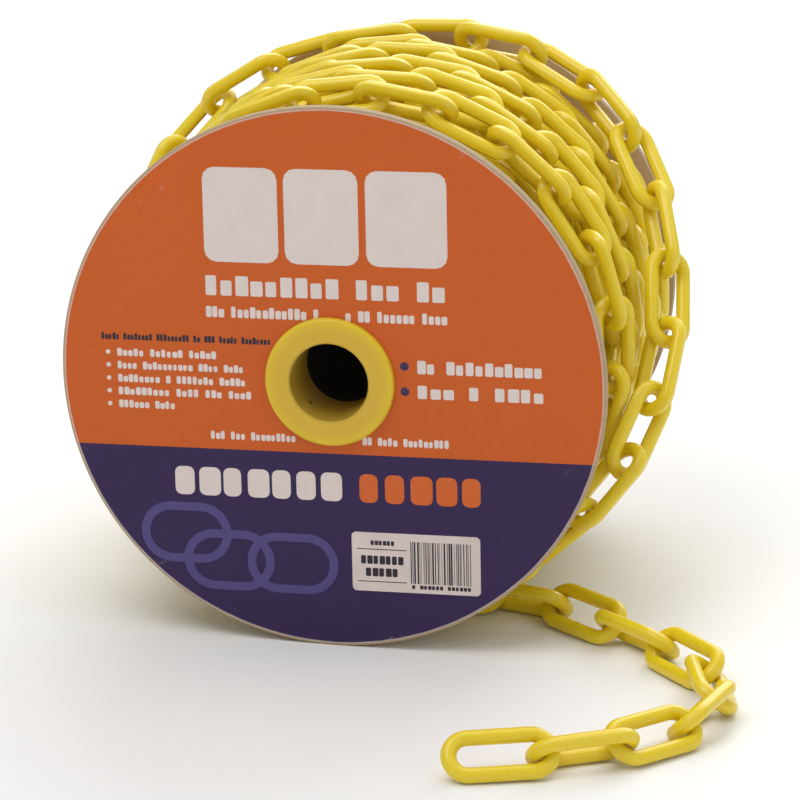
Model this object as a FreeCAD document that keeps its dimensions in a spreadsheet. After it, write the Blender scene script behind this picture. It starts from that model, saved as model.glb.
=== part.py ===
import FreeCAD, Part
import Sketcher
import math
import os
import random

# Reel of plastic chain: two flange boards on a core tube, plastic hub bushes, a glued front
# label, and the chain itself, wound in layers, with its free end paid out along the floor.
# Frame: origin at the reel's centre on the spindle axis, +Y along the axis to the back,
# +X to the side where the chain pays out, +Z up. Millimetres.

os.makedirs("parts", exist_ok=True)
doc = FreeCAD.newDocument("chain_reel")
sheet = doc.addObject("Spreadsheet::Sheet", "Sizes")

SIZES = {
    # reel
    "flange_radius": 150, "board_thickness": 6, "inner_width": 248,
    "tube_outer_radius": 28, "tube_inner_radius": 25.5,
    "bush_flange_radius": 35.5, "bush_flange_thickness": 3.75, "bush_sleeve_radius": 25.4,
    "bush_bore_radius": 21.5, "bush_depth": 36, "bush_edge_round": 2.2, "bush_mouth_round": 1.2,
    # paper
    "label_radius": 148.6, "label_thickness": 0.3,
    "sticker_width": 71, "sticker_height": 33.4, "sticker_thickness": 0.2,
    "sticker_corner": 2.5, "sticker_across": 47.5, "sticker_down": 99.7, "sticker_turn": 1.3,
    # chain
    "wire": 8, "link_length": 60, "link_width": 28, "link_overlap": 9, "link_gap": 0.25,
    "turns_per_layer": 8, "climb_turns": 0.36, "layer_reach": 108.5, "first_layer_radius": 40.9,
    "inner_roll_scatter": 1.5, "outer_roll_scatter": 9, "scatter_seed": 4,
}
for row, (alias, value) in enumerate(SIZES.items(), start=1):
    sheet.set("A%d" % row, alias)
    sheet.set("B%d" % row, str(value))
    sheet.setAlias("B%d" % row, alias)
doc.recompute()


def size(alias):
    """A driving dimension, read back from the sheet."""
    return float(sheet.get(alias))


pieces = []  # (node name, object whose Shape is written)


def keep(name, piece):
    piece.Label = name
    pieces.append((name, piece))
    return piece


# ---------------------------------------------------------------- helpers

def outward(y, sign):
    """Local +Z laid along the spindle axis: to the front for sign -1, to the back for +1."""
    turned = FreeCAD.Rotation(FreeCAD.Vector(1, 0, 0), -90 * sign)
    return FreeCAD.Placement(FreeCAD.Vector(0, y, 0), turned)


def new_sketch(body, name, role):
    """A sketch on one of the body's own origin planes."""
    sketch = body.newObject("Sketcher::SketchObject", name)
    plane = [p for p in body.Origin.OriginFeatures if p.Role == role][0]
    sketch.AttachmentSupport = [(plane, "")]
    sketch.MapMode = "FlatFace"
    return sketch


def bind(sketch, constraint, expression):
    """Add a measured constraint and tie it to the sheet."""
    index = sketch.addConstraint(constraint)
    sketch.setExpression("Constraints[%d]" % index, expression)


def ring(name, outer, inner, length, placement):
    """A flat ring or a tube: a padded sketch of two circles about the origin."""
    body = doc.addObject("PartDesign::Body", name + "_body")
    sketch = new_sketch(body, name + "_sketch", "XY_Plane")
    for alias in (outer, inner):
        round_edge = Part.Circle(FreeCAD.Vector(), FreeCAD.Vector(0, 0, 1), size(alias))
        index = sketch.addGeometry(round_edge, False)
        sketch.addConstraint(Sketcher.Constraint("Coincident", index, 3, -1, 1))
        bind(sketch, Sketcher.Constraint("Radius", index, size(alias)), "Sizes." + alias)
    pad = body.newObject("PartDesign::Pad", name + "_pad")
    pad.Profile = sketch
    pad.setExpression("Length", "Sizes." + length)
    body.Placement = placement
    return keep(name, body)


def cylinder(name, radius, height, base):
    shape = doc.addObject("Part::Cylinder", name)
    shape.setExpression("Radius", radius)
    shape.setExpression("Height", height)
    shape.setExpression("Placement.Base.z", base)
    return shape


def circle_edges(shape, radius, height):
    """Numbers of the circular edges of one radius at one height along local Z."""
    found = []
    for number, edge in enumerate(shape.Edges, start=1):
        if hasattr(edge.Curve, "Radius") and abs(edge.Curve.Radius - radius) < 1e-6:
            if abs(edge.BoundBox.ZMin - height) < 1e-3:
                found.append(number)
    return found


# ---------------------------------------------------------------- reel

def reel():
    """Boards, core tube, hub bushes, front label and its sticker."""
    half = size("inner_width") / 2
    board_face = half + size("board_thickness")
    label_face = board_face + size("label_thickness")
    ring("front_flange", "flange_radius", "tube_inner_radius", "board_thickness",
         outward(-half, -1))
    ring("back_flange", "flange_radius", "tube_inner_radius", "board_thickness",
         outward(half, 1))
    ring("core_tube", "tube_outer_radius", "tube_inner_radius", "inner_width",
         outward(-half, 1))
    ring("front_label", "label_radius", "tube_inner_radius", "label_thickness",
         outward(-board_face, -1))
    hub_bush("front_hub_bush", outward(-label_face, -1))
    hub_bush("back_hub_bush", outward(board_face, 1))
    barcode_sticker(outward(-label_face, -1))


def hub_bush(name, placement):
    """A flange outside the board, and a sleeve through it into the tube, bored for a spindle.

    Local z = 0 is the flange's inner face; the sleeve reaches down to z = -bush_depth.
    """
    whole = doc.addObject("Part::Fuse", name + "_blank")
    whole.Base = cylinder(name + "_flange", "Sizes.bush_flange_radius",
                          "Sizes.bush_flange_thickness", "0 mm")
    whole.Tool = cylinder(name + "_sleeve", "Sizes.bush_sleeve_radius",
                          "Sizes.bush_depth + Sizes.bush_flange_thickness / 2",
                          "-Sizes.bush_depth")
    cut = doc.addObject("Part::Cut", name + "_bored")
    cut.Base = whole
    cut.Tool = cylinder(name + "_bore", "Sizes.bush_bore_radius", "2 * Sizes.bush_depth",
                        "-1.2 * Sizes.bush_depth")
    doc.recompute()
    top = size("bush_flange_thickness")
    rounds = (("bush_flange_radius", "bush_edge_round"), ("bush_bore_radius", "bush_mouth_round"))
    rounded = doc.addObject("Part::Fillet", name)
    rounded.Base = cut
    rounded.Edges = [(number, size(fillet), size(fillet)) for radius, fillet in rounds
                     for number in circle_edges(cut.Shape, size(radius), top)]
    rounded.Placement = placement
    return keep(name, rounded)


def barcode_sticker(label_front):
    """A paper rectangle with rounded corners, stuck on the label a little askew."""
    box = doc.addObject("Part::Box", "sticker_blank")
    box.setExpression("Length", "Sizes.sticker_width")
    box.setExpression("Width", "Sizes.sticker_height")
    box.setExpression("Height", "Sizes.sticker_thickness")
    box.setExpression("Placement.Base.x", "-Sizes.sticker_width / 2")
    box.setExpression("Placement.Base.y", "-Sizes.sticker_height / 2")
    doc.recompute()
    upright = [number for number, edge in enumerate(box.Shape.Edges, start=1)
               if edge.BoundBox.ZLength > size("sticker_thickness") / 2]
    rounded = doc.addObject("Part::Fillet", "barcode_sticker")
    rounded.Base = box
    rounded.Edges = [(n, size("sticker_corner"), size("sticker_corner")) for n in upright]
    place = FreeCAD.Vector(size("sticker_across"), -size("sticker_down"), 0)
    turn = FreeCAD.Rotation(FreeCAD.Vector(0, 0, 1), size("sticker_turn"))
    rounded.Placement = label_front.multiply(FreeCAD.Placement(place, turn))
    return keep("barcode_sticker", rounded)


# ---------------------------------------------------------------- one link

HALF_BAR = (size("link_length") - size("link_width")) / 2   # half of a straight bar
BOW = (size("link_width") - size("wire")) / 2               # centreline radius of an end bow
REACH = HALF_BAR + BOW                                      # link centre to bow's wire centre
WIRE_RADIUS = size("wire") / 2


def moulded_link():
    """One link: a round wire carried along a closed slot, lying in XY with its length on X."""
    body = doc.addObject("PartDesign::Body", "link")
    up = FreeCAD.Vector(0, 0, 1)
    right = FreeCAD.Vector(HALF_BAR, 0, 0)
    top, bottom, left, half_turn = 0, 2, 3, math.pi
    path = new_sketch(body, "link_path", "XY_Plane")
    path.addGeometry([
        Part.LineSegment(FreeCAD.Vector(-HALF_BAR, BOW, 0), FreeCAD.Vector(HALF_BAR, BOW, 0)),
        Part.ArcOfCircle(Part.Circle(right, up, BOW), -half_turn / 2, half_turn / 2),
        Part.LineSegment(FreeCAD.Vector(HALF_BAR, -BOW, 0), FreeCAD.Vector(-HALF_BAR, -BOW, 0)),
        Part.ArcOfCircle(Part.Circle(-right, up, BOW), half_turn / 2, 3 * half_turn / 2)], False)
    path.addConstraint([
        Sketcher.Constraint("Tangent", top, 2, 1, 2),
        Sketcher.Constraint("Tangent", 1, 1, bottom, 1),
        Sketcher.Constraint("Tangent", bottom, 2, left, 2),
        Sketcher.Constraint("Tangent", left, 1, top, 1),
        Sketcher.Constraint("Equal", 1, left),
        Sketcher.Constraint("Symmetric", 1, 3, left, 3, -1, 1),
        Sketcher.Constraint("PointOnObject", 1, 3, -1)])
    bind(path, Sketcher.Constraint("Radius", 1, BOW), "(Sizes.link_width - Sizes.wire) / 2")
    bind(path, Sketcher.Constraint("DistanceX", left, 3, 1, 3, 2 * HALF_BAR),
         "Sizes.link_length - Sizes.link_width")
    section = new_sketch(body, "link_section", "YZ_Plane")
    section.addGeometry(Part.Circle(FreeCAD.Vector(BOW, 0, 0), up, WIRE_RADIUS), False)
    section.addConstraint(Sketcher.Constraint("PointOnObject", 0, 3, -1))
    bind(section, Sketcher.Constraint("Radius", 0, WIRE_RADIUS), "Sizes.wire / 2")
    bind(section, Sketcher.Constraint("DistanceX", -1, 1, 0, 3, BOW),
         "(Sizes.link_width - Sizes.wire) / 2")
    doc.recompute()
    pipe = body.newObject("PartDesign::AdditivePipe", "link_pipe")
    pipe.Profile = section
    pipe.Spine = (path, ["Edge1", "Edge2", "Edge3", "Edge4"])
    doc.recompute()
    return body


# ---------------------------------------------------------------- laying the chain

def plus(a, b, k=1.0):
    """a + k b"""
    return (a[0] + k * b[0], a[1] + k * b[1], a[2] + k * b[2])


def dot(a, b):
    return a[0] * b[0] + a[1] * b[1] + a[2] * b[2]


def cross(a, b):
    return (a[1] * b[2] - a[2] * b[1], a[2] * b[0] - a[0] * b[2], a[0] * b[1] - a[1] * b[0])


def length(a):
    return math.sqrt(dot(a, a))


def unit(a):
    return plus((0, 0, 0), a, 1 / length(a))


def slot_outline(steps=12):
    """Points along a link's centreline, in its own plane: both bars, then both bows."""
    points = []
    for i in range(steps):
        along = HALF_BAR * (2 * (i + 0.5) / steps - 1)
        points += [(along, BOW), (along, -BOW)]
        angle = math.pi * (i + 0.5) / steps
        x, y = HALF_BAR + BOW * math.sin(angle), BOW * math.cos(angle)
        points += [(x, y), (-x, y)]
    return points


OUTLINE = slot_outline()


class Link:
    """A link where it lies: the wire centres of its two bows, and its width direction.

    roll is the angle, about the link's length, from the direction that points away from what
    the link lies on to the link's width.
    """

    def __init__(self, first, last, away, roll):
        self.first = first
        self.along = unit(plus(last, first, -1))
        self.last = plus(first, self.along, 2 * REACH)
        self.centre = plus(first, self.along, REACH)
        level = unit(plus(away, self.along, -dot(away, self.along)))
        tilt = math.radians(roll)
        self.width = plus(plus((0, 0, 0), level, math.cos(tilt)),
                          cross(self.along, level), math.sin(tilt))
        self.normal = cross(self.along, self.width)

    def points(self):
        return [plus(plus(self.centre, self.along, u), self.width, v) for u, v in OUTLINE]

    def gap(self, points, least):
        """Shortest way from the points to this link's centreline, or any that is under least."""
        nearest = 1e9
        for point in points:
            offset = plus(point, self.centre, -1)
            u = max(abs(dot(offset, self.along)) - HALF_BAR, 0.0)
            v = dot(offset, self.width)
            w = dot(offset, self.normal)
            in_plane = math.sqrt(u * u + v * v) - BOW
            nearest = min(nearest, in_plane * in_plane + w * w)
        return math.sqrt(nearest)

    def placement(self):
        x, y, z = self.along, self.width, self.normal
        c = self.centre
        return FreeCAD.Placement(FreeCAD.Matrix(x[0], y[0], z[0], c[0], x[1], y[1], z[1], c[1],
                                                x[2], y[2], z[2], c[2], 0, 0, 0, 1))

# The outer layer, as (turns since it starts, place along the axis, lift off the layer). It lies
# in wide turns from the back board to the front; the last turn is loose. That one crosses to
# the back on the paying-out side, lies in the free place by the back board over the top,
# crosses to the front again on the far side, and reaches the floor under the reel.
OUTER_LAYER = [
    (0, 108, 0), (0.1, 104, 0), (0.25, 83, 0), (0.35, 80, 0), (0.85, 74, 0),
    (1.35, 54, 0), (1.85, 42, 0), (2.35, 24, 0), (2.85, 9, 0), (3.35, -8, 0), (3.85, -24, 0),
    (4.35, -42, 0), (4.6, -62, 0), (4.85, -98, 0),
    (4.933, -90, 2), (5.0, -72, 14), (5.058, -40, 24), (5.1, -12, 25), (5.156, 30, 26),
    (5.21, 70, 26), (5.26, 96, 20), (5.3, 107, 11), (5.34, 108, 3), (5.4, 108, 2),
    (5.44, 108, 9), (5.49, 106, 21), (5.55, 88, 26), (5.6, 64, 26), (5.656, 24, 26),
    (5.697, -14, 26), (5.733, -42, 20), (5.765, -60, 10), (5.8, -62, 2), (5.85, -60, 0)]
LOOSE_FROM = 4.85          # turns of the outer layer before the loose one

# The free end on the floor, as places in plan: out from under the reel, round, and back.
FLOOR_END = [(2, -60), (40, -58), (80, -57), (112, -66), (146, -92), (178, -118), (206, -146),
             (221, -180), (216, -222), (196, -256), (162, -282), (118, -300), (94, -307)]
FLOOR_CLEARANCE = 11.0     # chain's middle above the floor, its links leaning at 45 degrees


def layer_radii():
    """Radius of the links' middles in each layer, each just clear of the one below.

    A link is straight, so its bars' ends stand further out than its middle does.
    """
    half_height = BOW * math.sin(math.pi / 4) + WIRE_RADIUS
    radii = [size("first_layer_radius")]
    for room in (0.8, 0.5, 0.3, 0.25):
        top = math.hypot(radii[-1] + half_height, HALF_BAR)
        radii.append(top + half_height + room)
    return radii


def eased(k):
    return k * k * (3 - 2 * k)


def along_stops(stops, turn, column, softness):
    """A value between hand-set stops, averaged over a short stretch so that it has no corners."""
    total = 0.0
    samples = 9
    for i in range(samples):
        t = turn + softness * (2 * i / (samples - 1) - 1)
        t = min(max(t, stops[0][0]), stops[-1][0])
        before, after = [(p, q) for p, q in zip(stops, stops[1:]) if t <= q[0]][0]
        share = (t - before[0]) / (after[0] - before[0])
        total += before[column] + share * (after[column] - before[column])
    return total / samples


def wound_route():
    """Closely spaced points of the chain's way round the core: (point, layer, outer turns)."""
    per_turn = 180
    radii = [math.hypot(middle, REACH) for middle in layer_radii()]
    inner = len(radii) - 1
    turns, climb = size("turns_per_layer"), size("climb_turns")
    start = 0.75 - (inner * (turns + climb) + OUTER_LAYER[-1][0])
    route = []

    def lay(turn, radius, y, layer, outer_turn=0.0):
        angle = 2 * math.pi * (turn + start)
        point = (radius * math.cos(angle), y, radius * math.sin(angle))
        route.append((point, layer, outer_turn))

    done, side = 0.0, 1
    for layer in range(inner):
        steps = int(turns * per_turn)
        for i in range(steps):
            y = side * size("layer_reach") * (1 - 2 * i / steps)
            lay(done + i / per_turn, radii[layer], y, layer)
        done += turns
        side = -side
        steps = int(climb * per_turn)
        for i in range(steps):
            rise = (radii[layer + 1] - radii[layer]) * eased(i / steps)
            lay(done + i / per_turn, radii[layer] + rise, side * size("layer_reach"), layer)
        done += climb
    for i in range(int(OUTER_LAYER[-1][0] * per_turn) + 1):
        turn = i / per_turn
        lay(done + turn, radii[-1] + along_stops(OUTER_LAYER, turn, 2, 0.03),
            along_stops(OUTER_LAYER, turn, 1, 0.05), inner, turn)
    return route


def floor_route(layer):
    """A smooth curve through the free end's places, at the height at which it lies."""
    z = FLOOR_CLEARANCE - size("flange_radius")
    places = [(x, y, z) for x, y in FLOOR_END]
    places = ([plus(plus((0, 0, 0), places[0], 2), places[1], -1)] + places
              + [plus(plus((0, 0, 0), places[-1], 2), places[-2], -1)])
    per_span = 40
    route = []
    for a, b, c, d in zip(places, places[1:], places[2:], places[3:]):
        for i in range(per_span):
            t = i / per_span
            point = tuple(0.5 * (2 * q + (r - p) * t + (2 * p - 5 * q + 4 * r - s) * t * t
                                 + (3 * q - p - 3 * r + s) * t ** 3)
                          for p, q, r, s in zip(a, b, c, d))
            route.append((point, layer, OUTER_LAYER[-1][0]))
    route.append((places[-2], layer, OUTER_LAYER[-1][0]))
    return route


# Ways in which a link may settle, tried in order: (lift, more roll, push across, slack).
SETTLING = sorted(((lift, roll, push, slack)
                   for lift in (0, 0.7, 1.4, 2.2, 3.2)
                   for roll in (0, 4, -4, 8, -8, 12, -12, 17, -17)
                   for push in (1, 0.6, 1.4, 0.2, -0.4, -1)
                   for slack in (0, 0.9)),
                  key=lambda w: 2 * w[0] + abs(w[1]) / 4 + 2 * abs(w[2] - 1) + 3 * w[3])


def room_round(link, points, links, on_floor):
    """Least distance from a link's centreline to its neighbours', or 0 if it meets the reel."""
    margin = 0.2
    core = size("tube_outer_radius") + 1 + WIRE_RADIUS + margin
    if min(math.hypot(p[0], p[2]) for p in points) < core:
        return 0
    if min(p[2] for p in points) < WIRE_RADIUS - size("flange_radius") - 0.01:
        return 0
    wall = size("inner_width") / 2 - WIRE_RADIUS - margin
    if not on_floor and max(abs(p[1]) for p in points) > wall:
        return 0
    far = 2 * (REACH + WIRE_RADIUS) + 5
    room = 1e9
    for other in links:
        if length(plus(link.centre, other.centre, -1)) < far:
            room = min(room, other.gap(points, room))
    return room


def laid_links(route, floor_layer):
    """Lay links one after another along the route.

    Each link's two bows have their wires' centres on the route, and each starts a little back
    inside the bow of the one before. Links lean at 45 degrees, to one side and the other in
    turn. Where the chain bends, the next link is pushed across the bow that it hangs in, and
    it settles with small changes of roll and height until it is clear of all the others.
    """
    scatter = random.Random(int(size("scatter_seed")))
    wanted = size("wire") + size("link_gap")
    links = []
    here, start = 0, route[0][0]
    while True:
        step = here
        while step < len(route) and length(plus(route[step][0], start, -1)) < 2 * REACH:
            step += 1
        if step == len(route):
            return links
        end, layer, outer_turn = point_at(route, step, start, 2 * REACH)
        on_floor = layer == floor_layer
        lean = 45 if len(links) % 2 else -45
        if not on_floor:
            outer = layer == floor_layer - 1
            spread = size("outer_roll_scatter") if outer else size("inner_roll_scatter")
            lean_now = lean + scatter.uniform(-1, 1) * spread
        else:
            lean_now = lean
        along = unit(plus(end, start, -1))
        middle = plus(start, along, REACH)
        away = (0, 0, -1) if on_floor else unit((middle[0], 0, middle[2]))
        across = (0, 0, 0)
        if links:
            bend = math.degrees(math.acos(min(1, dot(links[-1].along, along))))
            if bend > 0.5:
                most, per_degree = 3.0, 0.09
                hinge = unit(cross(along, links[-1].along))
                across = plus((0, 0, 0), hinge, math.copysign(min(most, per_degree * bend), lean))
        best, best_room = None, -1
        for lift, roll, push, slack in SETTLING:
            if on_floor and lift:
                continue
            first = plus(start, across, push)
            if links:
                first = plus(first, links[-1].along, -slack)
            link = Link(first, plus(end, away, lift), away, lean_now + roll)
            room = room_round(link, link.points(), links, on_floor)
            if room > best_room:
                best, best_room = link, room
            if room >= wanted:
                break
        best.layer, best.outer_turn = layer, outer_turn
        links.append(best)
        here = step
        while here and length(plus(route[here][0], best.last, -1)) < size("link_overlap"):
            here -= 1
        start = route[here][0]


def point_at(route, step, centre, distance):
    """The point of the route at a distance from a centre, just before the given step."""
    inside, outside = route[step - 1][0], route[step][0]
    low, high = 0.0, 1.0
    for _ in range(20):
        share = (low + high) / 2
        if length(plus(plus(inside, plus(outside, inside, -1), share), centre, -1)) < distance:
            low = share
        else:
            high = share
    point = plus(inside, plus(outside, inside, -1), low)
    return point, route[step][1], route[step][2]


def chain():
    """The whole chain: a node for each wound layer and for each link lying free on the floor."""
    link_shape = moulded_link().Shape
    inner = len(layer_radii()) - 1
    links = laid_links(wound_route() + floor_route(inner + 1), inner + 1)
    groups = {}
    under_reel = 50          # links that start nearer than this are still held by the reel
    loose = 0
    for link in links:
        if link.layer < inner:
            name = "wound_layer_%d" % (link.layer + 1)
        elif link.layer > inner and link.first[0] > under_reel:
            loose += 1
            name = "floor_link_%d" % loose
        elif link.layer > inner or link.outer_turn > LOOSE_FROM:
            name = "loose_turn"
        else:
            name = "outer_layer"
        groups.setdefault(name, []).append(link)
    for name, members in groups.items():
        placed = []
        for link in members:
            copy = link_shape.copy()
            copy.Placement = link.placement()
            placed.append(copy)
        piece = doc.addObject("Part::Feature", name)
        piece.Shape = placed[0] if len(placed) == 1 else Part.makeCompound(placed)
        keep(name, piece)
    return links


# ---------------------------------------------------------------- build and write

def report_faults():
    for item in doc.Objects:
        if "Invalid" in item.State or "Error" in item.State:
            raise RuntimeError("%s failed to build" % item.Name)
    for name, piece in pieces:
        if piece.Shape.isNull() or not piece.Shape.isValid():
            raise RuntimeError("%s has no valid shape" % name)


reel()
links = chain()
doc.recompute()
report_faults()
for name, piece in pieces:
    piece.Shape.exportStep("parts/%s.step" % name)
    print("%-18s %4d solids  %10.0f mm3" % (name, len(piece.Shape.Solids), piece.Shape.Volume))
print("%d links, %.1f m of chain" % (len(links), len(links) * 0.0432))
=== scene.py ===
"""Looks of a reel of moulded barrier chain: two fibreboard flanges on a tube, a printed paper
disc, two moulded hub bushes, the wound chain and its free end on the floor.

Lengths are in metres. X runs across the printed face, Y along the reel's axis away from the
printed face, and Z up. The loaded frame is never changed; each new piece takes its place from it.
"""

import math

import bpy
import numpy as np
from bpy.props import FloatProperty, FloatVectorProperty, IntProperty, PointerProperty
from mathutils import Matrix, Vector


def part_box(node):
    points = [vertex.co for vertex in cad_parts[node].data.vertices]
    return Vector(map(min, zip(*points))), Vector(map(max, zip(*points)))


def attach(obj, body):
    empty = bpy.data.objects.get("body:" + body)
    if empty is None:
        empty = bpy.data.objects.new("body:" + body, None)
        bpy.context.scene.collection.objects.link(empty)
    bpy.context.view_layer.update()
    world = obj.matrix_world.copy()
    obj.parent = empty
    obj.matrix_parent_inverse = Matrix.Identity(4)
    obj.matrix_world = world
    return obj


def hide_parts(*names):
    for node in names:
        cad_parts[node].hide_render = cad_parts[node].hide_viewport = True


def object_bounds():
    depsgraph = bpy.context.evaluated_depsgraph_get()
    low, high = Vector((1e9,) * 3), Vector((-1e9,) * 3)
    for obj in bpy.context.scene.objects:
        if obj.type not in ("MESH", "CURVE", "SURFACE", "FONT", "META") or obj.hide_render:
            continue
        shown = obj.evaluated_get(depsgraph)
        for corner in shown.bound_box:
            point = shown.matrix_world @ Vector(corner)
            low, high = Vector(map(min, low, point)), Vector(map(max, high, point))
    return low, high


bl_info = {
    "name": "Chain Reel Looks",
    "version": (1, 0, 0),
    "blender": (4, 5, 0),
    "location": "3D View > Sidebar > Chain Reel",
    "description": "Builds the chain, flanges, print and stage of a reel of barrier chain",
    "category": "Object",
}

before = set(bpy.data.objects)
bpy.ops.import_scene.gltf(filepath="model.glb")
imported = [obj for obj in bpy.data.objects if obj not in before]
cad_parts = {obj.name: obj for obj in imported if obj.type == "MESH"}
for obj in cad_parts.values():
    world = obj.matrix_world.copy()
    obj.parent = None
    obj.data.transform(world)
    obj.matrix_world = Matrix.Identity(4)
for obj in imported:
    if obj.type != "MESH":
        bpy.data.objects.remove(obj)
CAD_BOX = [list(corner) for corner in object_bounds()]
BOARD_LOW, BOARD_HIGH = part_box("front_flange")
BACK_LOW, BACK_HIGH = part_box("back_flange")
PAPER_LOW, PAPER_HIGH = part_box("front_label")
BUSH_LOW, BUSH_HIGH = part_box("front_hub_bush")
STICKER_LOW, STICKER_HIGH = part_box("barcode_sticker")
TUBE_LOW, TUBE_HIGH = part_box("core_tube")

# How many links each wound part of the chain has.
WOUND_LINKS = {
    "wound_layer_1": 58,
    "wound_layer_2": 89,
    "wound_layer_3": 116,
    "wound_layer_4": 151,
    "outer_layer": 110,
    "loose_turn": 29,
}
FLOOR_LINKS = sorted(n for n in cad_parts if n.startswith("floor_link_"))

# Steps round each end of a link, and round its bar, by how well the link can be seen.
HIDDEN_STEPS = (4, 8)
INNER_FEWER_STEPS, INNER_SIDES = 4, 12
OUTER_SIDES = 14
FREE_STEPS = (24, 26)

MM = 0.001
PLY = 0.00075  # thickness of a ply of the pressed board
SEAM_CLIMB = 0.09  # how far the tube's spiral seam climbs in a turn
TURNED_LINE = 0.0011  # spacing of the fine rings on a bush's face
STICKER_TURN = math.radians(1.3)


# ---------------------------------------------------------------- settings


def length(name, description, default, low=0.0, high=1.0):
    """A length setting in metres."""
    return FloatProperty(
        name=name, description=description, default=default, min=low, max=high,
        precision=5, subtype="DISTANCE", unit="LENGTH",
    )


def share(name, description, default):
    """A setting from 0 to 1."""
    return FloatProperty(
        name=name, description=description, default=default, min=0, max=1, subtype="FACTOR"
    )


def colour(name, description, red, green, blue):
    """A colour setting, given as it is seen on a screen, from 0 to 255."""
    seen = [c / 255 for c in (red, green, blue)]
    light = [c / 12.92 if c <= 0.04045 else ((c + 0.055) / 1.055) ** 2.4 for c in seen]
    return FloatVectorProperty(
        name=name, description=description, default=light, size=3, min=0, max=1, subtype="COLOR"
    )


class ChainLooks(bpy.types.PropertyGroup):
    """Shape and colour of the moulded links."""

    link_length: length("Link length", "Outside length of a link", 0.060)
    link_width: length("Link width", "Outside width of a link", 0.028)
    wire: length("Wire", "Thickness of a link's bar", 0.008)
    parting_ridge: length("Parting ridge", "Height of the mould's parting line", 0.00012, 0, 0.001)
    plastic: colour("Plastic", "Colour of the moulded links", 232, 204, 24)
    bleached: colour("Bleached plastic", "Colour of a paler batch of links", 238, 214, 50)
    # the seam colour tints the scuffs, and is also painted along the parting line as a highlight
    seam: colour("Seam", "Colour of the scuffed parting line", 252, 236, 120)
    roughness: share("Roughness", "Roughness of the moulded skin", 0.3)
    end_turns: IntProperty(
        name="Outer link steps", description="Steps round each end of an outer link",
        default=11, min=3, max=48,
    )


class BoardLooks(bpy.types.PropertyGroup):
    """Shape and colour of the flanges and the tube between them."""

    edge_round: length("Edge round", "Radius of a flange's worn edge", 0.0009, 0, 0.003)
    kraft: colour("Kraft", "Colour of a flange's face", 196, 166, 132)
    fleck: colour("Fleck", "Colour of the fibres in the board", 142, 112, 80)
    rim: colour("Rim", "Colour of a flange's cut edge", 176, 160, 128)
    tube: colour("Tube", "Colour of the wound tube", 172, 142, 108)


class PrintLooks(bpy.types.PropertyGroup):
    """Colours and layout of the printed disc and the sticker."""

    orange: colour("Orange", "Colour of the upper field", 213, 98, 30)
    purple: colour("Purple", "Colour of the lower field", 52, 34, 82)
    paper: colour("Paper", "Colour of the white print and the paper's edge", 226, 212, 206)
    violet: colour("Violet", "Colour of the drawn links", 80, 68, 128)
    ink: colour("Ink", "Colour of the dark print", 40, 28, 40)
    turn: FloatProperty(
        name="Turn", description="How far the disc is glued on turned", default=math.radians(1.24),
        subtype="ANGLE", unit="ROTATION",
    )
    border: length("Border", "Height of the border between the two fields", -0.0405, -0.2, 0.2)
    thickness: length("Ink thickness", "How far the print stands on the paper", 0.00004, 0, 0.001)


class HubLooks(bpy.types.PropertyGroup):
    """Colour of the hub bushes."""

    plastic: colour("Plastic", "Colour of the bushes", 214, 174, 56)
    roughness: share("Roughness", "Roughness of the bushes", 0.46)


class StageLooks(bpy.types.PropertyGroup):
    """Floor, light and camera."""

    floor: colour("Floor", "Colour of the floor", 244, 244, 243)
    distance: length("Distance", "From the camera to the reel's centre", 2.0697, 0.1, 20)
    azimuth: FloatProperty(
        name="Azimuth", description="How far the camera stands round to the right",
        default=math.radians(12.504), subtype="ANGLE", unit="ROTATION",
    )
    elevation: FloatProperty(
        name="Elevation", description="How far the camera looks down",
        default=math.radians(14.975), subtype="ANGLE", unit="ROTATION",
    )
    key: FloatProperty(
        name="Key light", description="Power of the large lamp", default=17, min=0, unit="POWER"
    )
    fill: FloatProperty(
        name="Fill light", description="Power of the lamp on the other side", default=4, min=0,
        unit="POWER",
    )
    sky: FloatProperty(
        name="Sky", description="Strength of the light from all round", default=0.46, min=0
    )


class ReelLooks(bpy.types.PropertyGroup):
    """All settings of the reel."""

    chain: PointerProperty(type=ChainLooks)
    boards: PointerProperty(type=BoardLooks)
    printing: PointerProperty(type=PrintLooks)
    hub: PointerProperty(type=HubLooks)
    stage: PointerProperty(type=StageLooks)


# --------------------------------------------------------------- materials


class Signal:
    """A shader value. Each operator adds the Math node that works it out."""

    def __init__(self, finish, socket):
        self.finish, self.socket = finish, socket

    def _math(self, operation, *values):
        return self.finish.node("ShaderNodeMath", {"operation": operation}, dict(enumerate(values)))

    def __add__(self, other):
        return self._math("ADD", self, other)

    def __sub__(self, other):
        return self._math("SUBTRACT", self, other)

    def __rsub__(self, other):
        return self._math("SUBTRACT", other, self)

    def __mul__(self, other):
        return self._math("MULTIPLY", self, other)

    __radd__, __rmul__ = __add__, __mul__

    def __pow__(self, other):
        return self._math("POWER", self, other)

    def root(self):
        """Square root."""
        return self._math("SQRT", self)

    def sine(self):
        """Sine of an angle in radians."""
        return self._math("SINE", self)

    def ramp(self, start, end):
        """0 before start and 1 after end, with an even slope between them."""
        return self.finish.node(
            "ShaderNodeMapRange", {"clamp": True},
            {"Value": self, "From Min": start, "From Max": end},
        )


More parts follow.
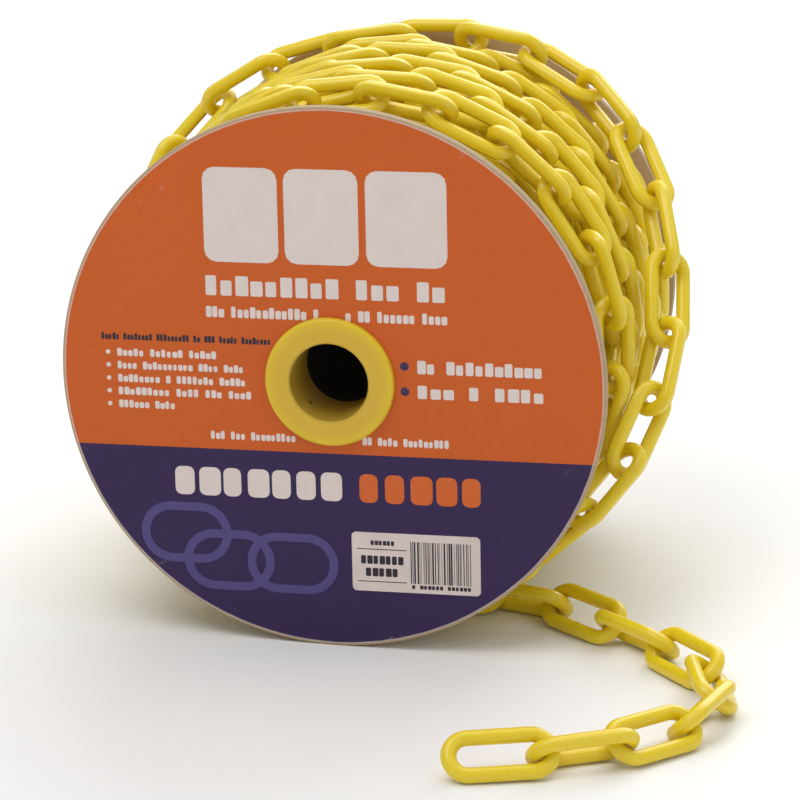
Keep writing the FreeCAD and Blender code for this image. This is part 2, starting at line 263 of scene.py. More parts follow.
class Finish:
    """One material: its node tree, its shader, and the one way that nodes are added."""

    def __init__(self, name, fixed):
        self.material = bpy.data.materials.new(name)
        self.material.use_nodes = True
        self.tree = self.material.node_tree
        self.tree.nodes.clear()
        self.shader = self.tree.nodes.new("ShaderNodeBsdfPrincipled")
        last = self.tree.nodes.new("ShaderNodeOutputMaterial")
        self.tree.links.new(self.shader.outputs[0], last.inputs[0])
        for socket, value in fixed.items():
            self.shader.inputs[socket].default_value = value
        self.place = self.node("ShaderNodeTexCoord", out="Object")
        split = self.tree.nodes.new("ShaderNodeSeparateXYZ")
        self._put(split.inputs[0], self.place)
        self.x, self.y, self.z = (Signal(self, s) for s in split.outputs)

    def _put(self, socket, value):
        if isinstance(value, Signal):
            self.tree.links.new(value.socket, socket)
        elif hasattr(value, "__len__") and len(value) == 3 and socket.type == "RGBA":
            socket.default_value = (*value, 1)
        else:
            socket.default_value = value

    def node(self, kind, settings=None, values=None, out=0):
        """Adds a node: its settings first, then the values or links of its sockets. Returns the
        output asked for."""
        made = self.tree.nodes.new(kind)
        for setting, value in (settings or {}).items():
            setattr(made, setting, value)
        for socket, value in (values or {}).items():
            self._put(made.inputs[socket], value)
        return Signal(self, made.outputs[out])

    def noise(self, scale, detail=3.0, rough=0.55, vector=None):
        """Soft noise about 0.5, scale spots to the metre."""
        return self.node(
            "ShaderNodeTexNoise", {"noise_dimensions": "3D"},
            {"Vector": vector or self.place, "Scale": scale, "Detail": detail, "Roughness": rough},
            out="Fac",
        )

    def cells(self, scale):
        """Distance to the nearest of scattered points, scale of them to the metre."""
        return self.node(
            "ShaderNodeTexVoronoi", {"feature": "F1"},
            {"Vector": self.place, "Scale": scale}, out="Distance",
        )

    def stretch(self, x, y, z):
        """Object coordinates drawn out along the axes, for fibres and lines."""
        return self.node(
            "ShaderNodeMapping", {"vector_type": "POINT"},
            {"Vector": self.place, "Scale": (x, y, z)},
        )

    def mix(self, factor, first, second):
        """The first colour where factor is 0, and the second where it is 1."""
        return self.node(
            "ShaderNodeMix", {"data_type": "RGBA"}, {0: factor, 6: first, 7: second}, out=2
        )

    def measure(self, name):
        """A number stored on the piece's points."""
        return self.node("ShaderNodeAttribute", {"attribute_name": name}, out="Fac")

    def paint(self, base, roughness, height=None, depth=0.0001, strength=1.0):
        """Feeds the shader: colour, roughness, and a height in shares of depth metres."""
        self._put(self.shader.inputs["Base Color"], base)
        self._put(self.shader.inputs["Roughness"], roughness)
        if height is not None:
            values = {"Height": height, "Distance": depth, "Strength": strength}
            bump = self.node("ShaderNodeBump", values=values, out="Normal")
            self._put(self.shader.inputs["Normal"], bump)
        return self.material

    def radius(self):
        """Distance from the reel's axis."""
        return (self.x * self.x + self.z * self.z).root()


def chain_plastic(looks):
    """Glossy moulded polyethylene, slightly see-through, each link a shade of its own, with a
    slightly rougher parting line painted pale as a highlight, faint flow marks and handling scuffs."""
    f = Finish(
        "moulded_yellow",
        {
            "Coat Weight": 0.12, "Coat Roughness": 0.12, "Subsurface Weight": 0.14,
            "Subsurface Radius": (0.0035, 0.0022, 0.0004), "Subsurface Scale": 1.0,
        },
    )
    batch = f.measure("batch")
    seam = f.measure("seam")
    cloud = f.noise(38, 2)
    scuff = f.noise(420, 4, 0.7).ramp(0.6, 0.74)
    base = f.mix((batch * 0.6 + cloud * 0.55) - 0.1, looks.plastic, looks.bleached)
    base = f.mix(scuff * 0.3, base, looks.seam)
    # painted highlight: the pale seam colour laid along the parting line
    base = f.mix(seam ** 3 * 0.7, base, looks.seam)
    rough = looks.roughness + scuff * 0.16 + seam * 0.12 + (f.noise(90, 2) - 0.5) * 0.16
    height = f.noise(260, 3) * 0.7 + f.noise(1500, 2) * 0.2 - scuff * 0.15
    return f.paint(base, rough, height, 0.00022, 0.55)


def kraft_board(looks, name, inner):
    """Pressed fibreboard: flecks of fibre, soft mottling, and a paler cut rim with its plies.
    inner is the side of the middle of the board, along Y, whose face is bare."""
    f = Finish(name, {"Specular IOR Level": 0.25})
    radius = f.radius()
    fibres = f.noise(900, 4, 0.7, f.stretch(0.35, 1, 1.6))
    fleck = f.cells(640).ramp(0.34, 0.12) * f.noise(130, 2).ramp(0.5, 0.68)
    mottle = f.noise(22, 4, 0.6)
    face = f.mix(mottle.ramp(0.3, 0.75) * 0.42, looks.kraft, looks.rim)
    face = f.mix(fibres.ramp(0.45, 0.8) * 0.4, face, looks.fleck)
    face = f.mix(fleck * 0.7, face, looks.fleck)
    plies = ((f.y - inner) * (math.tau / PLY)).sine() * 0.5 + 0.5
    edge = f.mix(plies * 0.35 + f.noise(700, 3) * 0.3, looks.rim, looks.kraft)
    edge = f.mix(f.noise(160, 4, 0.7).ramp(0.55, 0.75) * 0.5, edge, looks.fleck)
    on_rim = radius.ramp(BOARD_HIGH.x - 0.0011, BOARD_HIGH.x - 0.0005)
    base = f.mix(on_rim, face, edge)
    height = fibres * 0.6 + mottle * 0.3 + plies * on_rim * 0.6
    return f.paint(base, 0.78 + (f.noise(240, 2) - 0.5) * 0.18, height, 0.00022, 0.7)


def tube_board(looks):
    """Spiral-wound tube: seams that climb as they go round, and painted shade that makes its inner
    face almost black.
    """
    f = Finish("wound_tube", {"Specular IOR Level": 0.25})
    radius = f.radius()
    angle = f.node("ShaderNodeMath", {"operation": "ARCTAN2"}, {0: f.z, 1: f.x})
    seam = (angle + f.y * (math.tau / SEAM_CLIMB)).sine().ramp(0.985, 0.998)
    fibres = f.noise(700, 4, 0.7)
    unshaded_outside = radius.ramp(TUBE_HIGH.x - 0.0014, TUBE_HIGH.x - 0.0008)
    base = f.mix(fibres.ramp(0.4, 0.8) * 0.5, looks.tube, looks.fleck)
    base = f.mix(seam * 0.6, base, looks.fleck)
    # painted shade: the tube's inner face is coloured almost black, where the inside of the tube
    # lies in shadow
    base = f.mix(unshaded_outside, (0.06, 0.05, 0.042), base)
    return f.paint(base, 0.85 - unshaded_outside * 0.1, fibres - seam, 0.0002, 0.6)


def hub_plastic(looks, chain):
    """Satin moulded bush: paler towards the flange's edge, fine turned lines on its face, a small
    dark gate mark low in the bore, and painted shade that darkens the sleeve."""
    f = Finish(
        "hub_plastic",
        {
            "Specular IOR Level": 0.45, "Subsurface Weight": 0.1,
            "Subsurface Radius": (0.003, 0.002, 0.0005), "Subsurface Scale": 1.0,
        },
    )
    radius = f.radius()
    rings = (radius * (math.tau / TURNED_LINE)).sine()
    edge = radius.ramp(0.0285, BUSH_HIGH.x - 0.0006)
    sleeve_shade = radius.ramp(BUSH_HIGH.x - 0.0125, BUSH_HIGH.x - 0.014)
    cloud = f.noise(55, 3)
    base = f.mix(edge * 0.5 + cloud * 0.25, looks.plastic, chain.plastic)
    # painted shade: dark brown laid over the sleeve down inside the bore
    base = f.mix(sleeve_shade * 0.35, base, (0.16, 0.11, 0.03))
    across, down = f.x - BUSH_LOW.x * 0.39, f.z - BUSH_LOW.x * 0.455
    along = f.y - BUSH_LOW.y - 0.0165
    spot = (across * across + down * down + along * along).root().ramp(0.0016, 0.0009)
    base = f.mix(spot, base, (0.01, 0.008, 0.005))
    scuff = f.noise(300, 4, 0.7).ramp(0.6, 0.75)
    rough = looks.roughness + scuff * 0.2 + (cloud - 0.5) * 0.12
    return f.paint(base, rough, f.noise(500, 3) + rings * 0.1, 0.0001, 0.5)


def printed_paper(looks):
    """Coated paper, orange above a slanting border and purple below it, with faint print mottle,
    a fine screen, soft creases and a worn pale trim at its edge."""
    f = Finish(
        "printed_paper",
        {"Specular IOR Level": 0.28, "Coat Weight": 0.03, "Coat Roughness": 0.25},
    )
    radius = f.radius()
    above = f.z * math.cos(looks.turn) - f.x * math.sin(looks.turn)
    upper = (above - looks.border).ramp(-0.00012, 0.00012)
    mottle = f.noise(260, 5, 0.75)
    cloud = f.noise(14, 3)
    orange = [c * 0.82 for c in looks.orange]
    purple = [c * 0.8 for c in looks.purple]
    field = f.mix(
        upper, f.mix(mottle * 0.6 + cloud * 0.4, purple, looks.purple),
        f.mix(mottle * 0.6 + cloud * 0.4, orange, looks.orange),
    )
    speck = f.cells(1500).ramp(0.22, 0.08) * f.noise(210, 2).ramp(0.56, 0.7)
    field = f.mix(speck * 0.16, field, looks.paper)
    wear = radius + f.noise(110, 4, 0.7) * 0.0007
    trim = wear.ramp(PAPER_HIGH.x - 0.0006, PAPER_HIGH.x + 0.0001)
    field = f.mix(trim * 0.7, field, looks.paper)
    rub = f.noise(60, 5, 0.8).ramp(0.62, 0.8) * radius.ramp(0.118, 0.147)
    field = f.mix(rub * 0.35, field, looks.paper)
    rough = 0.42 + (mottle - 0.5) * 0.2 + rub * 0.2
    height = f.noise(9, 3) * 1.4 + f.noise(1200, 2) * 0.08
    return f.paint(field, rough, height, 0.0006, 0.35)


def ink(name, shade, paper):
    """Printed ink, faintly uneven, so the paper shows through its finest spots."""
    f = Finish(name, {"Specular IOR Level": 0.4})
    mottle = f.noise(900, 4, 0.7)
    base = f.mix(mottle.ramp(0.55, 0.8) * 0.22, shade, paper)
    base = f.mix(f.noise(70, 3).ramp(0.4, 0.7) * 0.12, base, [c * 0.7 for c in shade])
    return f.paint(base, 0.45 + (mottle - 0.5) * 0.2, mottle, 0.00003, 0.4)


def sticker_paper(looks):
    """Plain matt paper with fine fibre, and a faint grey bloom where it has been handled."""
    f = Finish("sticker_paper", {"Specular IOR Level": 0.35})
    fibres = f.noise(1300, 4, 0.7)
    cloud = f.noise(60, 3)
    grey = [c * 0.86 for c in looks.paper]
    base = f.mix(cloud.ramp(0.35, 0.75), looks.paper, grey)
    return f.paint(base, 0.6 + (fibres - 0.5) * 0.2, fibres * 0.3 + cloud, 0.0002, 0.4)


# ------------------------------------------------------------------ shapes


def join(copies, rows, columns):
    """Faces of grids that close on themselves both ways. Each face joins a point, the next along
    its row, and the same two in the next row; the last row meets the first."""
    here = np.arange(rows * columns).reshape(rows, columns)
    below = np.roll(here, -1, 0)
    faces = np.stack([here, np.roll(here, -1, 1), np.roll(below, -1, 1), below], -1)
    first = np.arange(copies)[:, None, None] * rows * columns
    return (faces.reshape(1, -1, 4) + first).reshape(-1, 4)


def facing_out(points, faces):
    """The faces, turned round if the signed volume is below zero. Each face adds a sixth of its
    first corner dotted with the cross product of its other corners, less the first."""
    a, b, c, d = (points[faces[:, i]] for i in range(4))
    volume = (a * np.cross(b - a, c - a)).sum() + (a * np.cross(c - a, d - a)).sum()
    return faces[:, ::-1] if volume < 0 else faces


def make_piece(name, points, faces, material, body, replaces=(), smooth=True, measures=None):
    """A mesh from points and faces at the origin, riding on a body."""
    mesh = bpy.data.meshes.new(name)
    mesh.from_pydata(points.reshape(-1, 3).tolist(), [], [list(f) for f in faces])
    if mesh.validate():
        raise ValueError(f"{name} has faces that can't be kept")
    mesh.polygons.foreach_set("use_smooth", np.full(len(mesh.polygons), smooth))
    for key, values in (measures or {}).items():
        mesh.attributes.new(key, "FLOAT", "POINT").data.foreach_set(
            "value", np.ascontiguousarray(values, np.float32).ravel()
        )
    mesh.materials.append(material)
    piece = bpy.data.objects.new(name, mesh)
    bpy.context.scene.collection.objects.link(piece)
    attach(piece, body)
    if replaces:
        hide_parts(*replaces)
    return piece


def dress(node, material):
    """Gives a node of the frame its material."""
    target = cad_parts[node]
    for slot in target.material_slots:
        slot.material = material


def link_skin(looks, end_turns, sides):
    """A link in its own axes, along, across and through, as a grid of points, with how much of the
    parting line each point has. The path is a stadium: half a turn round each end, and a
    straight between them. The section is a circle, raised at its outermost and innermost line:
    the point is the path plus the radius times cosine outwards and sine through the link."""
    bend = (looks.link_width - looks.wire) / 2
    reach = (looks.link_length - looks.link_width) / 2
    half = np.linspace(-math.pi / 2, math.pi / 2, end_turns + 1)
    turn = np.concatenate([half, half + math.pi])
    centre = np.repeat([reach, -reach], end_turns + 1)
    outward = np.stack([np.cos(turn), np.sin(turn), np.zeros_like(turn)], -1)
    path = outward * bend
    path[:, 0] += centre
    ridge = math.radians(7)
    arc = np.linspace(ridge, math.pi - ridge, sides // 2 - 1)
    section = np.concatenate([[0], arc, [math.pi], arc + math.pi])
    on_seam = np.concatenate([[1], np.zeros(len(arc)), [1], np.zeros(len(arc))])
    radius = looks.wire / 2 + on_seam * looks.parting_ridge
    points = path[:, None, :] + outward[:, None, :] * (radius * np.cos(section))[None, :, None]
    points[:, :, 2] += radius * np.sin(section)
    return points, np.broadcast_to(on_seam, points.shape[:2])


def link_places(node, count):
    """Where each link of a node lies: its centre and its three axes. The node's corners come link
    after link, the same number each. A link's centre is the middle of its skin, weighted by
    area, and its axes are the main directions of that skin: the longest spread is along it,
    the next across it, and the third is their cross product."""
    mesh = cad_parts[node].data
    corners = np.empty(len(mesh.vertices) * 3, np.float32)
    mesh.vertices.foreach_get("co", corners)
    order = np.empty(len(mesh.polygons) * 3, np.int32)
    mesh.loops.foreach_get("vertex_index", order)
    if len(mesh.polygons) % count:
        raise ValueError(f"{node} doesn't divide into {count} links")
    faces = corners.reshape(-1, 3).astype(float)[order].reshape(count, -1, 3, 3)
    area = np.linalg.norm(
        np.cross(faces[:, :, 1] - faces[:, :, 0], faces[:, :, 2] - faces[:, :, 0]), axis=-1
    )
    middle = faces.mean(2)
    centre = (middle * area[..., None]).sum(1) / area.sum(1)[:, None]
    away = middle - centre[:, None]
    spread = np.einsum("nf,nfi,nfj->nij", area, away, away)
    _, axes = np.linalg.eigh(spread)
    along, across = axes[:, :, 2], axes[:, :, 1]
    return centre, np.stack([along, across, np.cross(along, across)], 1)


def lay_links(name, node, count, looks, end_turns, sides, material, body):
    """One piece of new links in the places of a node's links: each grid point is the link's centre
    plus its own coordinates times the link's axes."""
    centre, axes = link_places(node, count)
    skin, on_seam = link_skin(looks, end_turns, sides)
    points = centre[:, None, None, :] + np.einsum("rck,nkj->nrcj", skin, axes)
    rows, columns = skin.shape[:2]
    faces = facing_out(points.reshape(-1, 3), join(count, rows, columns))
    batch = np.random.default_rng(len(name) + count).random(count)
    batch = np.broadcast_to(batch[:, None, None], points.shape[:3])
    seam = np.broadcast_to(on_seam, points.shape[:3])
    return make_piece(
        name, points, faces, material, body, [node],
        measures={"batch": batch, "seam": seam},
    )


def turned_ring(profile, steps):
    """A closed profile, given as radius and Y, carried round the Y axis: X is the radius times the
    cosine of the turn, and Z the radius times its sine."""
    turn = np.linspace(0, math.tau, steps, endpoint=False)
    radius, along = profile[:, 0], profile[:, 1]
    points = np.stack(
        [
            np.cos(turn)[:, None] * radius, np.broadcast_to(along, (steps, len(along))),
            np.sin(turn)[:, None] * radius,
        ],
        -1,
    )
    return points, facing_out(points.reshape(-1, 3), join(1, steps, len(profile)))


def board_profile(inner, outer, low, high, edge):
    """A flange's half section: a long rectangle whose two rim corners are quarter rounds, with a
    close pair of points beside each corner, so that its faces stay flat."""
    quarter = np.linspace(0, math.pi / 2, 6)
    outward, upward = edge * np.sin(quarter), edge * np.cos(quarter)
    near = np.stack([outer - edge + outward, low + edge - upward], -1)
    far = near[::-1] * [1, -1] + [0, low + high]
    step = 0.0003
    bore = [[inner, high], [inner, high - step], [inner, low + step], [inner, low]]
    faces_low = [[inner + step, low], [outer - edge - step, low]]
    faces_high = [[outer - edge - step, high], [inner + step, high]]
    rim = [[outer, low + edge + step], [outer, high - edge - step]]
    return np.concatenate([faces_low, near, rim, far, faces_high, bore])


def rounded(boxes, corner, steps=4):
    """Outlines of boxes, each given as left, low, right and high. A corner's points are the corner
    of a smaller box plus the radius times cosine and sine over a quarter turn."""
    boxes = np.asarray(boxes, float).reshape(-1, 4)
    middle = (boxes[:, :2] + boxes[:, 2:]) / 2
    half = (boxes[:, 2:] - boxes[:, :2]) / 2
    radius = np.minimum(corner, half.min(1) * 0.98)
    signs = np.repeat([[1, 1], [-1, 1], [-1, -1], [1, -1]], steps, 0)
    angle = (np.linspace(0, math.pi / 2, steps) + np.arange(4)[:, None] * math.pi / 2).ravel()
    ring = np.stack([np.cos(angle), np.sin(angle)], -1)
    inner = (half - radius[:, None])[:, None, :] * signs
    return middle[:, None, :] + inner + radius[:, None, None] * ring


def stand_up(outlines, foot, height):
    """Thin plates on a face that looks towards -Y: each outline at foot, and again height further
    out, with walls between them and a lid at both ends."""
    count, around = outlines.shape[:2]
    points = np.empty((count, 2, around, 3))
    points[..., 0] = outlines[:, None, :, 0]
    points[..., 2] = outlines[:, None, :, 1]
    points[:, :, :, 1] = np.array([foot, foot - height])[None, :, None]
    first = (np.arange(count) * 2 * around)[:, None]
    here = np.arange(around)
    after = np.roll(here, -1)
    walls = np.stack([here, after, after + around, here + around], -1)
    walls = (walls[None] + first[:, :, None]).reshape(-1, 4)
    lids = here[None] + around + first
    feet = here[::-1][None] + first
    return points.reshape(-1, 3), [*walls.tolist(), *lids.tolist(), *feet.tolist()]


def drawn_link(middle, long, wide, stroke, foot, height, steps=18):
    """A flat drawn link: a stadium path with a thin oblong section, which is the path plus or
    minus half the stroke outwards, at the foot and at height further out."""
    bend = (wide - stroke) / 2
    half = np.linspace(-math.pi / 2, math.pi / 2, steps)
    turn = np.concatenate([half, half + math.pi])
    reach = np.repeat([(long - wide) / 2, -(long - wide) / 2], steps)
    outward = np.stack([np.cos(turn), np.sin(turn)], -1)
    path = outward * bend + middle
    path[:, 0] += reach
    side = np.array([0.5, 0.5, -0.5, -0.5]) * stroke
    flat = path[:, None, :] + outward[:, None, :] * side[None, :, None]
    level = np.broadcast_to([foot, foot - height, foot - height, foot], flat.shape[:2])
    points = np.stack([flat[..., 0], level, flat[..., 1]], -1).reshape(-1, 3)
    return points, facing_out(points, join(1, 2 * steps, 4))


def gathered(parts):
    """One lot of points and faces from several: each lot's faces count on from the lot before."""
    first = np.cumsum([0] + [len(points) for points, _ in parts[:-1]])
    faces = [[i + int(n) for i in face] for n, (_, lot) in zip(first, parts) for face in lot]
    return np.concatenate([points for points, _ in parts]), faces


def spun(points, turn):
    """Points turned about the Y axis, from X towards Z."""
    across, up = points[..., 0].copy(), points[..., 2].copy()
    points[..., 0] = across * math.cos(turn) - up * math.sin(turn)
    points[..., 2] = across * math.sin(turn) + up * math.cos(turn)
    return points


def word_marks(left, right, low, high, words, tall=0.3, seed=1):
    """Boxes that stand for a row of small print. Each word is a number of marks; a mark takes
    seven to nine tenths of an even pitch, and the gap between words is a pitch. A word's first
    mark and some of the rest stand taller than the others."""
    words = np.asarray(words)
    pitch = (right - left) / (words.sum() + len(words) - 1)
    starts = np.concatenate([np.arange(n) for n in words])
    before = np.repeat(np.concatenate([[0], np.cumsum(words + 1)[:-1]]), words)
    place = left + (starts + before) * pitch
    chance = np.random.default_rng(seed).random((3, len(place)))
    thin = 0.7 + 0.2 * chance[0]
    top = np.where((chance[1] < tall) | (starts == 0), high, low + (high - low) * 0.76)
    foot = np.full(len(place), low)
    return np.stack([place, foot, place + pitch * thin, top], -1)


# --------------------------------------------------------------- operators


class Step(bpy.types.Operator):
    """Common settings of the building steps."""

    bl_options = {"REGISTER", "UNDO"}

    @property
    def looks(self):
        return bpy.context.scene.chain_reel


class REEL_OT_wind(Step):
    """Lay moulded links in the places of the wound chain"""

    bl_idname = "reel.wind"
    bl_label = "Wind Chain"

    def execute(self, context):
        looks = self.looks.chain
        material = bpy.data.materials.get("moulded_yellow") or chain_plastic(looks)
        for node, count in WOUND_LINKS.items():
            hidden = node in ("wound_layer_1", "wound_layer_2")
            inner = node in ("wound_layer_3", "wound_layer_4")
            turns, sides = HIDDEN_STEPS if hidden else (
                (looks.end_turns - INNER_FEWER_STEPS, INNER_SIDES) if inner
                else (looks.end_turns, OUTER_SIDES)
            )
            lay_links(
                node.replace("layer", "links").replace("loose_turn", "loose_links"), node, count,
                looks, turns, sides, material, "reel",
            )
        return {"FINISHED"}


class REEL_OT_floor_chain(Step):
    """Lay the links of the free end, each on its own body"""

    bl_idname = "reel.floor_chain"
    bl_label = "Lay Free End"

    def execute(self, context):
        looks = self.looks.chain
        material = bpy.data.materials.get("moulded_yellow") or chain_plastic(looks)
        for node in FLOOR_LINKS:
            name = node.replace("floor", "free")
            lay_links(name, node, 1, looks, *FREE_STEPS, material, node)
        return {"FINISHED"}


class REEL_OT_boards(Step):
    """Turn the two fibreboard flanges and finish the tube between them"""

    bl_idname = "reel.boards"
    bl_label = "Turn Flanges"

    def execute(self, context):
        looks = self.looks.boards
        bore = TUBE_HIGH.x - 0.0026
        for node, name, low, high in (
            ("front_flange", "front_board", BOARD_LOW, BOARD_HIGH),
            ("back_flange", "back_board", BACK_LOW, BACK_HIGH),
        ):
            profile = board_profile(bore, high.x, low.y, high.y, looks.edge_round)
            points, faces = turned_ring(profile, 224)
            material = kraft_board(looks, "kraft_" + name, (low.y + high.y) / 2)
            make_piece(name, points, faces, material, "reel", [node])
        dress("core_tube", tube_board(looks))
        return {"FINISHED"}


class REEL_OT_hub(Step):
    """Finish the two hub bushes"""

    bl_idname = "reel.hub"
    bl_label = "Finish Hub"

    def execute(self, context):
        material = hub_plastic(self.looks.hub, self.looks.chain)
        dress("front_hub_bush", material)
        dress("back_hub_bush", material)
        return {"FINISHED"}


class REEL_OT_label(Step):
    """Print the paper disc: fields, word marks, dots, blocks and drawn links"""

    bl_idname = "reel.label"
    bl_label = "Print Label"

    def execute(self, context):
        looks = self.looks.printing
        dress("front_label", printed_paper(looks))
        foot, thick = PAPER_LOW.y, looks.thickness
        white, dark, purple, orange = [], [], [], []
        for left, right in ((-67.5, -26.5), (-23.0, 17.5), (21.5, 65.5)):
            white.append(rounded([[left, 64.2, right, 116.2]], 6.5))
        for row in (
            (-67.5, 65.2, 45.6, 56.6, (9, 3, 2)), (-67.7, 65.2, 33.4, 39.6, (3, 12, 6, 2, 6, 4)),
            (-118.5, -62.5, 9.8, 14.2, (5, 6, 5)), (-118.5, -47.5, 2.6, 7.0, (4, 10, 4, 4)),
            (-118.5, -46.5, -4.8, -0.4, (8, 1, 7, 5)), (-118.5, -43.5, -12.0, -7.6, (9, 4, 3, 4)),
            (-118.5, -86.5, -19.3, -14.9, (6, 4)), (48.0, 116.5, 6.0, 13.4, (2, 10)),
            (48.0, 118.0, -7.8, -0.4, (3, 1, 4)),
            (-67.3, 64.9, -35.0, -30.4, (3, 3, 9, 6, 4, 2, 4, 9)),
        ):
            marks = word_marks(*row, seed=len(white))
            centre = (marks[:, :2] + marks[:, 2:]) / 2
            marks = marks[np.hypot(*centre.T) > BUSH_HIGH.x / MM + 1.2]
            white.append(rounded(marks, 0.8, 3))
        white.append(rounded(word_marks(-88.3, 7.0, -67.3, -51.2, (7,), tall=1), 3.4))
        orange.append(rounded(word_marks(14.8, 85.4, -67.3, -51.2, (5,), tall=1, seed=3), 3.4))
        dark.append(rounded(word_marks(-127.0, -32.0, 18.9, 22.8, (5, 8, 9, 2, 3, 5, 8)), 0.6, 3))
        for middle in (11.9, 4.7, -2.7, -9.9, -17.2):
            white.append(rounded([[-124.9, middle - 1.3, -122.3, middle + 1.3]], 1.3, 5))
        for middle in (9.9, -4.0):
            purple.append(rounded([[38.6, middle - 2.4, 43.4, middle + 2.4]], 2.4, 6))
        for name, outlines, shade, level in (
            ("label_white_print", white, looks.paper, 0), ("label_dark_print", dark, looks.ink, 0),
            ("label_purple_print", purple, looks.purple, 0),
            ("label_orange_print", orange, looks.orange, 1),
        ):
            parts = [stand_up(o * MM, foot - level * thick * 0.6, thick) for o in outlines]
            self.print_parts(name, parts, ink(name.replace("label", "ink"), shade, looks.paper))
        long, wide, stroke = 51 * MM, 34.5 * MM, 4.8 * MM
        drawn = [
            drawn_link(np.array(middle) * MM, long, wide, stroke, foot, thick * (1 + i / 3))
            for i, middle in enumerate(((-83, -89), (-59.3, -103.8), (-23.5, -104)))
        ]
        violet = ink("ink_drawn_links", looks.violet, looks.purple)
        self.print_parts("label_drawn_links", drawn, violet)
        return {"FINISHED"}

    def print_parts(self, name, parts, material):
        """One piece from several lots of points and faces, turned as the disc is."""
        points, faces = gathered(parts)
        points = spun(points, self.looks.printing.turn)
        make_piece(name, points, faces, material, "reel", smooth=False)


class REEL_OT_sticker(Step):
    """Print the small white sticker: bars, rules and word marks"""

    bl_idname = "reel.sticker"
    bl_label = "Print Sticker"

    def execute(self, context):
        looks = self.looks.printing
        dress("barcode_sticker", sticker_paper(looks))
        chance = np.random.default_rng(12).choice([0.35, 0.6, 0.8, 1.3], (2, 30))
        edges = np.cumsum(chance.T.ravel())
        edges = -3.0 + edges * 33.5 / edges[-1]
        left, right = np.concatenate([[-3.0], edges[1:-1:2]]), edges[::2]
        bars = np.stack([left, np.full(30, -11.4), right, np.full(30, 12.4)], -1)
        marks = [
            rounded(bars, 0.05, 2),
            rounded(word_marks(-2.5, 30.5, -14.4, -12.2, (1, 6, 6), tall=1), 0.3, 2),
            rounded(word_marks(-25.0, -11.5, 9.6, 12.2, (6,), tall=1), 0.3, 2),
            rounded(word_marks(-30.5, -6.5, -1.2, 3.6, (7,), tall=1), 0.6, 3),
            rounded(word_marks(-28.0, -9.5, -8.2, -3.4, (5,), tall=1), 0.6, 3),
            rounded([[-32.6, 7.0, -5.2, 7.5], [-32.6, -11.4, -5.2, -10.9]], 0.1, 2),
        ]
        middle = (STICKER_LOW + STICKER_HIGH) / 2
        points, faces = gathered([stand_up(m * MM, STICKER_LOW.y, 0.03 * MM) for m in marks])
        points = spun(points, STICKER_TURN) + [middle.x, 0, middle.z]
        material = ink("ink_sticker", looks.ink, looks.paper)
        make_piece("sticker_print", points, faces, material, "reel", smooth=False)
        return {"FINISHED"}


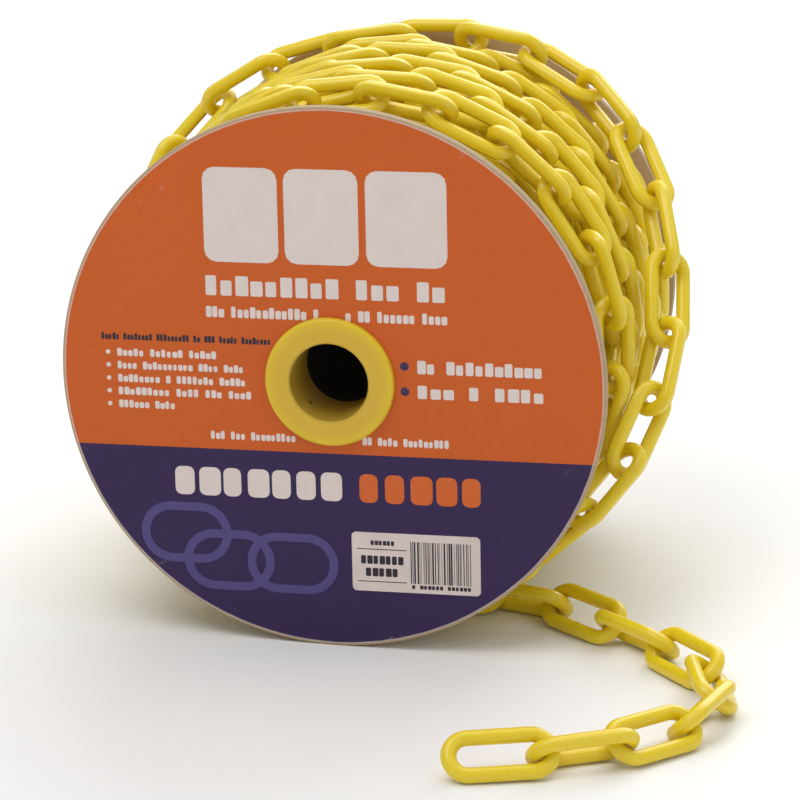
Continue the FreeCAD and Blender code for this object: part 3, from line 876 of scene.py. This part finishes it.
class REEL_OT_stage(Step):
    """Set the floor, the soft lights and the camera"""

    bl_idname = "reel.stage"
    bl_label = "Set Stage"

    def execute(self, context):
        looks = self.looks.stage
        scene = context.scene
        scene.view_settings.view_transform = "Standard"
        level = CAD_BOX[0][2]
        turn = np.linspace(0, math.tau, 64, endpoint=False)
        rim = np.stack([6 * np.cos(turn), 6 * np.sin(turn), np.full(64, level)], -1)
        mesh = bpy.data.meshes.new("floor")
        mesh.from_pydata(rim.tolist(), [], [list(range(64))])
        f = Finish("studio_floor", {"Specular IOR Level": 0.2})
        shade = f.mix(f.noise(3, 3), [c * 0.985 for c in looks.floor], looks.floor)
        mesh.materials.append(f.paint(shade, 0.7 + (f.noise(40, 3) - 0.5) * 0.1))
        floor = bpy.data.objects.new("floor", mesh)
        scene.collection.objects.link(floor)

        world = bpy.data.worlds.new("studio")
        world.use_nodes = True
        sky = world.node_tree.nodes["Background"]
        sky.inputs["Color"].default_value = (1, 1, 1, 1)
        sky.inputs["Strength"].default_value = looks.sky
        scene.world = world

        aim = Vector((0.02, 0, 0))
        for name, place, power, wide, tall in (
            ("key", (-0.6, -1.0, 2.0), looks.key, 1.2, 1.2),
            ("fill", (1.8, -1.1, 0.9), looks.fill, 1.4, 1.2),
            ("top", (0.2, 0.4, 2.1), looks.key * 0.75, 1.8, 1.8),
            ("back", (0.3, 3.4, 2.4), looks.key * 6, 4.0, 3.0),
        ):
            lamp = bpy.data.lights.new(name, "AREA")
            lamp.shape, lamp.size, lamp.size_y, lamp.energy = "RECTANGLE", wide, tall, power
            holder = bpy.data.objects.new(name, lamp)
            holder.location = place
            holder.rotation_euler = (aim - Vector(place)).to_track_quat("-Z", "Y").to_euler()
            scene.collection.objects.link(holder)

        lens = bpy.data.cameras.new("camera")
        lens.sensor_width, lens.lens = 36, 163.25
        lens.shift_x, lens.shift_y = 0.0217, -0.0998
        camera = bpy.data.objects.new("camera", lens)
        a, e, d = looks.azimuth, looks.elevation, looks.distance
        camera.location = (
            d * math.sin(a) * math.cos(e), -d * math.cos(a) * math.cos(e), d * math.sin(e)
        )
        camera.rotation_euler = (-camera.location).to_track_quat("-Z", "Y").to_euler()
        scene.collection.objects.link(camera)
        scene.camera = camera
        return {"FINISHED"}


class REEL_PT_panel(bpy.types.Panel):
    """Lists the settings and the building steps"""

    bl_idname = "REEL_PT_panel"
    bl_label = "Chain Reel"
    bl_space_type = "VIEW_3D"
    bl_region_type = "UI"
    bl_category = "Chain Reel"

    def draw(self, context):
        looks = context.scene.chain_reel
        for part in ("chain", "boards", "printing", "hub", "stage"):
            box = self.layout.box()
            box.label(text=part.title())
            group = getattr(looks, part)
            for name in group.__annotations__:
                box.prop(group, name)
        for step in STEPS:
            self.layout.operator(step.bl_idname)


GROUPS = (ChainLooks, BoardLooks, PrintLooks, HubLooks, StageLooks, ReelLooks)
STEPS = (
    REEL_OT_wind, REEL_OT_floor_chain, REEL_OT_boards, REEL_OT_hub, REEL_OT_label,
    REEL_OT_sticker, REEL_OT_stage,
)


def register():
    for cls in (*GROUPS, *STEPS, REEL_PT_panel):
        bpy.utils.register_class(cls)
    bpy.types.Scene.chain_reel = PointerProperty(type=ReelLooks)


def unregister():
    del bpy.types.Scene.chain_reel
    for cls in reversed((*GROUPS, *STEPS, REEL_PT_panel)):
        bpy.utils.unregister_class(cls)


def main():
    register()
    bpy.ops.reel.wind()
    bpy.ops.reel.floor_chain()
    bpy.ops.reel.boards()
    bpy.ops.reel.hub()
    bpy.ops.reel.label()
    bpy.ops.reel.sticker()
    bpy.ops.reel.stage()


if __name__ == "__main__":
    main()
